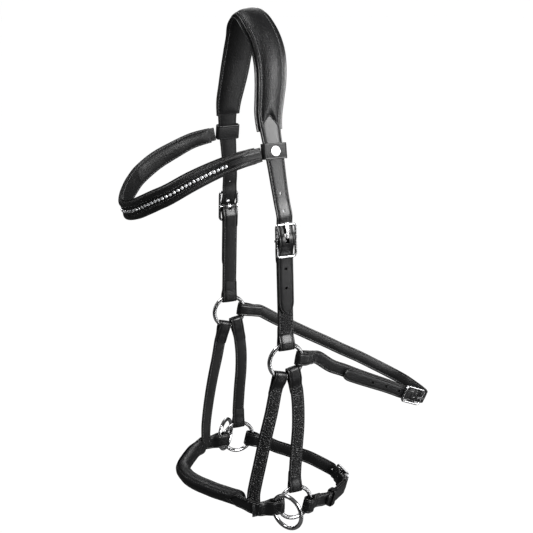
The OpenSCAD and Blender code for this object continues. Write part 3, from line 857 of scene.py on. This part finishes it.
def crown_pieces():
    tip = [tuple(cheek_at(1, a, LAP)) + (CHEEK_W, 2.6) for a in (-19, -45, -71, -84)]
    half = CROWN_ROUTE + weave_points(cheek_at(1, 0, BAR_C), *cheek_axes(), CHEEK_W, 2.6) + tip
    path = Path(run(flip(half)[:0:-1] + half, CROWN_WIDE, steps=6))
    strap = sweep("crown_leather", path, (SMOOTH, EDGE, LINING, SMOOTH), tips=(13, 13))
    cutters = []
    for side in (1, -1):
        along, out = cheek_axes(side)
        cutters.append(box_cutter(cheek_at(side, 0, 0), along, out, (-2.5, 8), (-2.4, 2.4), (4, 14)))
        for a in (-33, -55):
            cutters.append(hole_cutter(cheek_at(side, a, LAP), out, 3.2))
        bar_s = path.nearest(cheek_at(side, 0, 9.2))
        for d in (34, 54):
            s = bar_s - side * d
            cutters.append(hole_cutter(path.at(s), path.axes(s)[2], 3.0))
    cut(strap, cutters)
    settle(strap, "headstall", "strap_leather", "crown_strap")

    far_end, near_end = (path.nearest((side * 66.5, -1, -115)) for side in (-1, 1))
    lining = pad("crown_lining_pad", path, far_end, near_end, lambda s: path.size(s)[0] + 6, 1.6, 1.7, 5.2,
                 (LINING, EDGE), face=-1, seam=PAD_SEAM, cap=1.4)
    settle(lining, "headstall", "lining_leather", "crown_lining")
    panel = pad("crown_raised_panel", path, far_end + 2, near_end - 2, lambda s: path.size(s)[0] - 3.5, 1.5, 0.9,
                4.0, (PADDED, EDGE), notch=(14, 14), seam=PAD_SEAM, cap=1.2)
    settle(panel, "headstall", "padded_leather", "crown_panel")

    sew = Stitches()
    for side in (1, -1):
        sew.row(path, far_end + 4, near_end - 4, lambda s: side * (path.size(s)[0] - 3.5) * 0.425, 2.62)
        sew.row(path, far_end + 4, near_end - 4, lambda s: side * (path.size(s)[0] + 6) * ROW_AT, -3.5)
        loop_s = path.nearest((side * 70, 0, -128))
        bare = (loop_s, loop_s + 62) if side > 0 else (loop_s - 62, loop_s)
        for edge in (1, -1):
            sew.row(path, *bare, lambda s: edge * (path.size(s)[0] / 2 - 2.3), 1.38)
    for end, way in ((far_end + 2, 1), (near_end - 2, -1)):
        for side in (1, -1):
            for k in range(5):
                f = (k + 0.5) / 5 * 0.8
                s = end + way * (14 * (1 - f) + 1.1)
                half_w = (path.size(s)[0] - 3.5) / 2
                t, w, up = path.axes(s)
                sew.one(path.at(s, side * f * half_w, 2.62), (w * side * half_w - t * way * 14).normalized(), w, up,
                        2.2, 0.6)
    sew.finish("crown_stitching", "headstall", "strap_leather")


# ---------------------------------------------------------------- straps with folded ends
def straight(a, b, w, t, wide, parts=12):
    a, b = Vector(a), Vector(b)
    return [(a.lerp(b, k / parts), Vector(wide), w, t) for k in range(parts + 1)]


def add_strap(name, path, body, slot, nodes, sew, mats=(GRAIN, EDGE, LINING, SMOOTH), cutters=(), rows=(), seams=(),
              **options):
    """A strap piece with its stitch rows (from, to) and its seams across (place, face)."""
    obj = sweep(name, path, mats, **options)
    if cutters:
        cut(obj, cutters)
    settle(obj, body, slot, *nodes)
    for s0, s1 in rows:
        sew.both(path, s0, s1)
    for s, face in seams:
        w, t = path.size(s)
        sew.across(path, s, w / 2 - 2.2, face * (t / 2 - 0.05))
    return obj


def cheekpieces():
    along, out = cheek_axes()
    neck = neck_points(UPPER, CHEEK_DIR, CHEEK_LEAN, CHEEK_W, 3)[0][:3]
    for side, word in ((1, "near"), (-1, "far")):
        stations = turned(bar_fold(CHEEK_BAR, along, out, CHEEK_W, 3))
        stations += straight(cheek_at(1, -14, 0), neck, CHEEK_W, 3, (0, 1, 0))
        stations += ring_fold(UPPER, CHEEK_DIR, CHEEK_LEAN, CHEEK_W, 3, 0.3)
        if side < 0:
            stations = other_side(stations)
        path = Path(stations)
        sew = Stitches()
        top = path.nearest(cheek_at(side, -22, 0))
        low = path.nearest((side * neck[0], neck[1], neck[2]))
        slot = box_cutter(cheek_at(side, 0, 0), *cheek_axes(side), (-4, 6), (-2.4, 2.4), (-1, 11))
        add_strap(word + "_cheek_leather", path, "headstall", "strap_leather", [word + "_cheekpiece"], sew,
                  cutters=[slot], rows=[(top, low - 3)], seams=[(low - 1.5, 1), (low - 1.5, -1), (top - 1, -1)],
                  ends=(top - 2, path.length - low))
        sew.finish(word + "_cheek_stitching", "headstall", "strap_leather")


def drop_straps():
    for side, word in ((1, "near"), (-1, "far")):
        def sided(stations):
            return stations if side > 0 else other_side(stations)

        sew = Stitches()
        top = turned(ring_fold(UPPER, FRONT_DIR, 0, DROP_W, 2.8))
        body = run(neck_points(UPPER, FRONT_DIR, 0, DROP_W, 2.8) + FRONT_ROUTE, (0, 1, 0), (0.54, 0.84, 0))
        path = Path(sided(top + body))
        neck = path.nearest((side * body[2][0].x, body[2][0].y, body[2][0].z))
        add_strap(word + "_front_drop_leather", path, "noseband", "strap_leather", [word + "_front_strap"], sew,
                  rows=[(neck + 3, path.length - 6)], seams=[(neck + 1.5, 1), (neck + 1.5, -1)],
                  ends=(neck, 0))
        top = turned(ring_fold(UPPER, REAR_DIR, 0, DROP_W, 2.8, 0.2))
        low = neck_points(LOWER, LOWER_REAR_DIR, 0, DROP_W, 2.8)
        body = run(neck_points(UPPER, REAR_DIR, 0, DROP_W, 2.8) + REAR_ROUTE + low[::-1], (0, 1, 0))
        path = Path(sided(top + body + ring_fold(LOWER, LOWER_REAR_DIR, 0, DROP_W, 2.8)))
        neck = path.nearest((side * body[2][0].x, body[2][0].y, body[2][0].z))
        foot = path.nearest((side * body[-3][0].x, body[-3][0].y, body[-3][0].z))
        add_strap(word + "_rear_drop_leather", path, "noseband", "strap_leather", [word + "_rear_strap"], sew,
                  rows=[(neck + 3, foot - 3)],
                  seams=[(neck + 1.5, 1), (foot - 1.5, 1), (neck + 1.5, -1), (foot - 1.5, -1)],
                  ends=(neck, path.length - foot))
        sew.finish(word + "_drop_stitching", "noseband", "strap_leather")


def lifted(route, wide, rise):
    """Route points moved outwards along the strap's face, as in the CAD."""
    out = []
    for i, q in enumerate(route):
        a, b = route[max(i - 1, 0)], route[min(i + 1, len(route) - 1)]
        t = (Vector(b[:3]) - Vector(a[:3])).normalized()
        out.append(tuple(Vector(q[:3]) + t.cross(square_to(Vector(wide), t)) * rise) + tuple(q[3:]))
    return out


def buckled_strap(word, body, ring, angle, lean, w, wide, near_route, far_route, bar, along, extra, first, holes,
                  node_names, tip, sag):
    """The two halves of a strap that meets in a centre-bar buckle, the far half lapping over the near one."""
    a_dir = Vector(along).normalized()
    out_dir = Vector(along).cross(Vector(wide))
    c_dir = square_to(out_dir, a_dir)
    neck = neck_points(ring, angle, lean, w, 2.8)
    near_full = neck + near_route + [tuple(Vector(bar) - a_dir * k) + (w, 2.8) for k in BACK_OF_BAR]
    fold_near = turned(ring_fold(ring, angle, lean, w, 2.8, extra))
    sew = Stitches()

    path = Path(fold_near + run(near_full, wide) + bar_fold(bar, along, out_dir, w, 2.8))
    start = path.nearest(Vector(near_full[0][:3]) * 0.4 + Vector(near_full[1][:3]) * 0.6)
    stop = path.nearest(Vector(bar) - a_dir * 20)
    slot = box_cutter(bar, along, out_dir, (-4, 6), (-2.4, 2.4), (-1, 11))
    add_strap("near_" + word + "_leather", path, body, "strap_leather", [node_names[0]], sew, cutters=[slot],
              mats=(SMOOTH, EDGE, LINING, SMOOTH),
              rows=[(start + 2, stop)], seams=[(start + 1, 1), (start + 1, -1), (stop - 8, -1)])

    lap = lifted(near_full, wide, LAP)[first:-1]
    drop_dir = square_to(Vector(wide), a_dir)
    lap = [tuple(Vector(p[:3]) + drop_dir * (sag * (1 - k / len(lap)))) + tuple(p[3:]) for k, p in enumerate(lap)]
    billet = (flip(neck) + far_route + weave_points(Vector(bar) + c_dir * BAR_C, along, out_dir, w, 2.6)
              + lap[::-1])
    path = Path(other_side(fold_near) + facing(run(billet, wide), -1))
    start = path.nearest(Vector(flip(neck)[0][:3]) * 0.4 + Vector(flip(neck)[1][:3]) * 0.6)
    turn = path.nearest(Vector(bar) + a_dir * 30)
    cutters = [box_cutter(bar, along, out_dir, (-2.5, 8), (-2.4, 2.4), (4, 14))]
    bar_s = path.nearest(Vector(bar) + c_dir * 9.2)
    for d in holes:
        cutters.append(hole_cutter(path.at(bar_s + d), path.axes(bar_s + d)[2], 3.4, 1.9))
    add_strap("far_" + word + "_leather", path, body, "strap_leather", [node_names[1]], sew, cutters=cutters,
              mats=(SMOOTH, EDGE, LINING, SMOOTH), tips=(0, tip),
              rows=[(start + 2, turn - 20)], seams=[(start + 1, 1), (start + 1, -1)])
    sew.finish(word + "_stitching", body, "strap_leather")


def keeper_path(at, a_dir, b_dir, c_dir, half_b, half_c, corner, wide):
    """A closed band round a strap, turning in the plane of b and c."""
    at = Vector(at)
    stations = []
    corners = ((1, 1, 0), (-1, 1, 90), (-1, -1, 180), (1, -1, 270))
    for k, (sb, sc, a0) in enumerate(corners):
        for i in range(6):
            a = math.radians(a0 + 18 * i)
            stations.append((at + b_dir * (sb * (half_b - corner) + corner * math.cos(a))
                             + c_dir * (sc * (half_c - corner) + corner * math.sin(a)), a_dir, wide, 1.5))
        nb, nc, _ = corners[(k + 1) % 4]
        for i in range(1, 6):
            f = i / 6
            a = math.radians(a0 + 90)
            p = at + b_dir * (sb * (half_b - corner) + corner * math.cos(a)) + c_dir * (
                sc * (half_c - corner) + corner * math.sin(a))
            q = at + b_dir * (nb * (half_b - corner) + corner * math.cos(a)) + c_dir * (
                nc * (half_c - corner) + corner * math.sin(a))
            stations.append((p.lerp(q, f), a_dir, wide, 1.5))
    return Path(stations, closed=True)


# ---------------------------------------------------------------- browband
def brow_pieces():
    path = Path(run(BROW_ROUTE + flip(BROW_ROUTE)[-2::-1], BROW_WIDE))
    end = path.length
    core = sweep("browband_core", path, (SMOOTH, EDGE, LINING, SMOOTH), section=core_section)
    settle(core, "browband", "padded_leather")
    rolls = pad("browband_rolls", path, 14, end - 14, lambda s: path.size(s)[0] + 0.4, 0.9, 0.4, 3.2, (PADDED, EDGE),
                shape=CHANNEL, seam=0.97, ease=12, step=3.0, cap=0.9, start=0.85)
    settle(rolls, "browband", "padded_leather", "browband_face")
    backing = pad("browband_backing_pad", path, 6, end - 6, lambda s: path.size(s)[0] + 2, 1.25, 1.0, 3.8,
                  (LINING, EDGE), face=-1, seam=PAD_SEAM, ease=8, step=3.0, cap=1.0)
    settle(backing, "browband", "lining_leather", "browband_backing")
    channel = sweep("browband_channel_strip", path, (SMOOTH, EDGE, SMOOTH, SMOOTH), section=channel_section,
                    start=2, stop=end - 2)
    settle(channel, "browband", "padded_leather", "browband_channel")
    sew = Stitches()
    for side in (1, -1):
        sew.row(path, 3, end - 3, side * 3.9, 2.1, pitch=2.8, long=1.9, thick=0.5)
        sew.row(path, 8, end - 8, lambda s: side * (path.size(s)[0] + 2) * ROW_AT, -2.45)
    sew.finish("browband_stitching", "browband", "padded_leather")
    browband_crystals(path)
    for side, word in ((1, "near"), (-1, "far")):
        brow_loop(side, word)


def core_section(w, t):
    return strap_section(w, t, crease=0.12, inset=1.8, crown=0.0)


def channel_section(w, t):
    """A flat strip with two raised beads that hold the stones."""
    pts = []
    for u, v, e in ((4.6, 1.3, 0.3), (4.5, 2.0, 0.6), (3.4, 2.2, 0.2), (3.1, 2.75, 0.5), (2.6, 2.75, 0.5),
                    (2.3, 2.1, 0), (0, 2.05, 0)):
        pts.append((u, v, e, 0))
    pts += [(-u, v, e, 0) for u, v, e, _ in reversed(pts[:-1])]
    pts += [(-2, 1.2, 0, 0), (2, 1.2, 0, 0)]
    return pts


def browband_crystals(path):
    """A chain of faceted stones in metal cups."""
    cup_v, cup_f, gem_v, gem_f = [], [], [], []
    margin = 42
    pitch = (path.length - 2 * margin) / (STONES - 1)
    sides = 8
    cup = ((1.75, 2.1), (2.12, 2.3), (2.2, 3.0), (2.08, 3.25), (1.86, 3.2), (1.8, 2.9))
    gem = ((1.6, 2.75), (1.86, 3.1), (1.45, 3.62), (0.98, 3.86))
    for k in range(STONES):
        s = margin + k * pitch
        t, w, up = path.axes(s)
        centre = path.at(s)
        for rings, verts, faces, spin in ((cup, cup_v, cup_f, 0), (gem, gem_v, gem_f, 0.5)):
            base = len(verts)
            fit = min(1.0, (pitch / 2 - 0.02) / 2.2)
            for i, (r, h) in enumerate(rings):
                for j in range(sides):
                    a = 2 * math.pi * (j + (spin if i % 2 else 0)) / sides
                    verts.append(centre + (t * math.cos(a) + w * math.sin(a)) * r * fit + up * h)
            last = len(rings) - 1
            for i in range(last):
                for j in range(sides):
                    a, b = base + i * sides + j, base + i * sides + (j + 1) % sides
                    c, d = a + sides, b + sides
                    if spin:
                        faces += [(a, b, c), (b, d, c)] if i % 2 == 0 else [(a, d, c), (a, b, d)]
                    else:
                        faces.append((a, b, d, c))
            faces.append(tuple(range(base, base + sides))[::-1])
            faces.append(tuple(range(base + last * sides, base + (last + 1) * sides)))
    cups = make("browband_stone_cups", cup_v, cup_f, [CUP_METAL], sharp=40)
    settle(cups, "browband", "crystal")
    gems = make("browband_crystals", gem_v, gem_f, [CRYSTAL], smooth=False)
    settle(gems, "browband", "crystal", "browband_stones")


def brow_loop(side, word):
    g = math.radians(BROW_LEAN)
    x_dir = Vector((math.cos(g), 0, side * math.sin(g)))
    z_dir = Vector((-side * math.sin(g), 0, math.cos(g)))
    at = Vector((side * BROW_LOOP[0], BROW_LOOP[1], BROW_LOOP[2]))
    path = keeper_path(at, z_dir, Vector((0, 1, 0)), x_dir, 13.8, 3.65, 2.4, 17.5)
    obj = sweep(word + "_brow_loop_leather", path, (SMOOTH, EDGE, LINING, SMOOTH), inset=1.7, crease=0.18)
    settle(obj, "browband", "strap_leather", word + "_browband_loop")


# ---------------------------------------------------------------- noseband
def nose_pieces():
    tab = [(LOWER[0], LOWER[1] - RING_R - TAB_LEN + 1, LOWER[2], CHIN_W, 2.8),
           (LOWER[0] - 0.5, LOWER[1] - RING_R - TAB_LEN - 4, LOWER[2] + 0.5, CHIN_W, 2.8)]
    half = tab + NOSE_ROUTE
    path = Path(run(half + flip(half)[-2::-1], NOSE_WIDE))
    sew = Stitches()
    for side, word in ((1, "near"), (-1, "far")):
        origin = Vector((LOWER[0], LOWER[1] - RING_R, LOWER[2]))
        body = turned(run(tab + NOSE_ROUTE[:4], NOSE_WIDE))
        stations = body + fold(origin, Vector((0, -1, 0)), Vector((1, 0, 0)), Vector((0, 0, 1)), CHIN_W,
                               -1, TAB_HALF, TAB_SLOT, TAB_LEN, 2.8, over=14)
        if side < 0:
            stations = other_side(stations)
        strap = Path([(p, w, a + 1.2 * smoothstep((18.3 - a) / 3), t) for p, w, a, t in stations])
        seam = strap.nearest((side * 93, -26, -562))
        nodes = ["nose_strap"] if side > 0 else []
        add_strap(word + "_nose_tab_leather", strap, "noseband", "strap_leather", nodes, sew,
                  mats=(SMOOTH, EDGE, LINING, SMOOTH), tips=(8, 0), rows=[(5, seam - 2)],
                  seams=[(seam, 1), (seam, -1)], inset=2.0, crown=0.3)

    tab_end = path.nearest((70, -51.5, -555))
    near_end = path.nearest((80, -42, -557.5))
    far_end = path.nearest((-80, -42, -557.5))
    roll = nose_roll(path, near_end, far_end, tab_end - near_end)
    settle(roll, "noseband", "padded_leather", "nose_pad")
    cover = pad("noseband_raised_cover", path, tab_end - 7, path.length - tab_end + 7,
                lambda s: 14.5, 1.0, 0.7, 2.9, (PADDED, EDGE), notch=(11, 11), seam=PAD_SEAM, ease=7, cap=0.9,
                pressure=3.0)
    settle(cover, "noseband", "padded_leather", "nose_cover")
    for side in (1, -1):
        sew.row(path, tab_end + 3, path.length - tab_end - 3, side * 6.0, 1.75, thick=0.55)
    sew.finish("noseband_stitching", "noseband", "padded_leather")


def nose_roll(path, s0, s1, bare):
    """The round stuffed roll of the noseband: a closed skin on the inside of the nose strap, grooved at its seam."""
    rows = int((s1 - s0) / 2.6)
    around = 26
    verts, faces, pinned = [], [], set()
    for i in range(rows + 1):
        s = mix(s0, s1, i / rows)
        d = min(s - s0, s1 - s)
        scale = math.sqrt(max(1 - (1 - min(d / 9, 1)) ** 2, 0.02))
        top = mix(-1.7, 1.0, smoothstep((d - bare + 2) / 5))
        centre, depth = (top - 13.0) / 2, (top + 13.0) / 2
        for k in range(around):
            a = 2 * math.pi * k / around
            c, q = math.cos(a), math.sin(a)
            u = 9.0 * scale * math.copysign(abs(c) ** 0.82, c)
            v = centre + depth * scale * math.copysign(abs(q) ** 0.8, q)
            if q > 0.3 and k in (5, 8):
                v -= 0.5
                pinned.add(len(verts))
            if d < 3 or q > 0.8:
                pinned.add(len(verts))
            verts.append(path.at(s, u, v))
    for i in range(rows):
        for k in range(around):
            k2 = (k + 1) % around
            faces.append((i * around + k, i * around + k2, (i + 1) * around + k2, (i + 1) * around + k))
    faces.append(tuple(range(around))[::-1])
    faces.append(tuple(range(rows * around, (rows + 1) * around)))
    obj = make("noseband_roll", verts, faces, [PADDED], sharp=80)
    inflate(obj, pinned, 2500, 0.8)
    return obj


# ---------------------------------------------------------------- the rest of the hardware
def dress_hardware():
    for name, obj in NODES.items():
        if "ring" in name:
            finish = RING_METAL
        elif "stud" in name:
            finish = STUD_METAL
        elif "buckle" in name or "tongue" in name:
            finish = BUCKLE_METAL
        else:
            finish = SMOOTH
        obj.data.materials.clear()
        obj.data.materials.append(finish)


def camera():
    data = bpy.data.cameras.new("camera")
    data.lens = 66.7
    data.sensor_width = 36
    obj = bpy.data.objects.new("camera", data)
    bpy.context.scene.collection.objects.link(obj)
    azimuth, down = math.radians(67.2), math.radians(17.1)
    view = Vector((-math.sin(azimuth) * math.cos(down), math.cos(azimuth) * math.cos(down), -math.sin(down)))
    obj.location = (1.055, -0.421, 0.060)
    obj.rotation_euler = view.to_track_quat("-Z", "Y").to_euler()
    data.clip_end = 200
    bpy.context.scene.camera = obj


WORLD_BANDS = [(0.0, 0.08), (0.2, 0.14), (0.34, 0.03), (0.5, 0.01), (0.62, 0.04), (0.8, 0.16), (1.0, 0.08)]
SOFTBOXES = [  # name, place from the bridle's middle, size, power
    ("front_right", (1.2, 0.55, 0.62), (0.75, 0.75), 30),
    ("top_left", (-0.3, -0.75, 1.15), (0.7, 0.4), 9),
    ("right", (0.5, 1.35, -0.2), (0.22, 1.2), 5),
    ("strip", (1.3, 0.62, -0.42), (0.05, 1.1), 1.6),
    ("left", (-0.5, -1.4, 0.2), (0.12, 0.9), 0.7),
    ("behind", (-1.3, 0.5, 0.5), (0.4, 1.2), 4),
]


def studio():
    m, tree, bsdf, _ = material("studio_floor")
    bsdf.inputs["Base Color"].default_value = (0.05, 0.05, 0.05, 1)
    bsdf.inputs["Roughness"].default_value = 0.95
    bsdf.inputs["Specular IOR Level"].default_value = 0.0
    bsdf.inputs["Emission Color"].default_value = (1, 1, 1, 1)
    bsdf.inputs["Emission Strength"].default_value = 1.0
    low = cad_box[0][2] / MM - 420
    reach, sides = 20000, 32
    turns = [2 * math.pi * k / sides for k in range(sides)]
    ring = [(reach * math.cos(a), reach * math.sin(a)) for a in turns]
    wall = [(x, y, z) for z in (low - 5, reach) for x, y in ring]
    wall_faces = [(k, (k + 1) % sides, (k + 1) % sides + sides, k + sides) for k in range(sides)]
    floor = make("studio_floor", [(x * 1.1, y * 1.1, low) for x, y in ring], [tuple(range(sides))], [m])
    backdrop = make("studio_backdrop", wall, wall_faces + [tuple(range(sides, 2 * sides))], [m])
    for stage in (floor, backdrop):
        stage.visible_glossy = stage.visible_diffuse = stage.visible_shadow = False
    world = bpy.data.worlds.new("studio")
    world.use_nodes = True
    tree = world.node_tree
    background = tree.nodes["Background"]
    coords = tree.nodes.new("ShaderNodeTexCoord")
    split = tree.nodes.new("ShaderNodeSeparateXYZ")
    link(tree, coords, "Generated", split, "Vector")
    height = tree.nodes.new("ShaderNodeMapRange")
    height.inputs["From Min"].default_value = -1.0
    link(tree, split, "Z", height, "Value")
    sky = ramp(tree, WORLD_BANDS)
    link(tree, height, "Result", sky, "Fac")
    link(tree, sky, "Color", background, "Color")
    background.inputs["Strength"].default_value = 1.0
    bpy.context.scene.world = world
    centre = Vector((0, 0.03, -0.3))
    for name, place, size, power in SOFTBOXES:
        light = bpy.data.lights.new(name, "AREA")
        light.shape = "RECTANGLE"
        light.size, light.size_y = size
        light.energy = power
        obj = bpy.data.objects.new(name, light)
        bpy.context.scene.collection.objects.link(obj)
        obj.location = centre + Vector(place)
        obj.rotation_euler = (-Vector(place)).to_track_quat("-Z", "Y").to_euler()
    bpy.context.scene.view_settings.view_transform = "Standard"


dress_hardware()
crown_pieces()
cheekpieces()
drop_straps()
brow_pieces()
nose_pieces()
buckled_strap("jowl", "jowl", UPPER, JOWL_DIR, JOWL_LEAN, DROP_W, JOWL_WIDE, JOWL_NEAR, JOWL_FAR, JOWL_BAR,
              JOWL_ALONG, extra=0.5, first=3, holes=(-50, -25, 28, 53, 78),
              node_names=("near_jowl_strap", "far_jowl_strap"), tip=12, sag=-2.6)
buckled_strap("chin", "chin", LOWER, CHIN_DIR, CHIN_LEAN, CHIN_W, CHIN_WIDE, CHIN_NEAR, CHIN_FAR, CHIN_BAR,
              CHIN_ALONG, extra=1.4, first=2, holes=(-28, 30, 52),
              node_names=("near_chin_strap", "far_chin_strap"), tip=10, sag=0)
keeper_a = Vector(KEEPER_ALONG).normalized()
keeper_c = square_to(Vector(KEEPER_ALONG).cross(Vector(CHIN_WIDE)), keeper_a)
keeper_b = keeper_c.cross(keeper_a)
keeper = sweep("chin_keeper_leather",
               keeper_path(Vector(KEEPER_AT) + keeper_c * LAP / 2, keeper_a, keeper_b, keeper_c, 10.55, 4.65, 2.4, 9),
               (SMOOTH, EDGE, LINING, SMOOTH), inset=1.6, crease=0.16)
settle(keeper, "chin_keeper_body", "strap_leather", "chin_keeper")
camera()
studio()
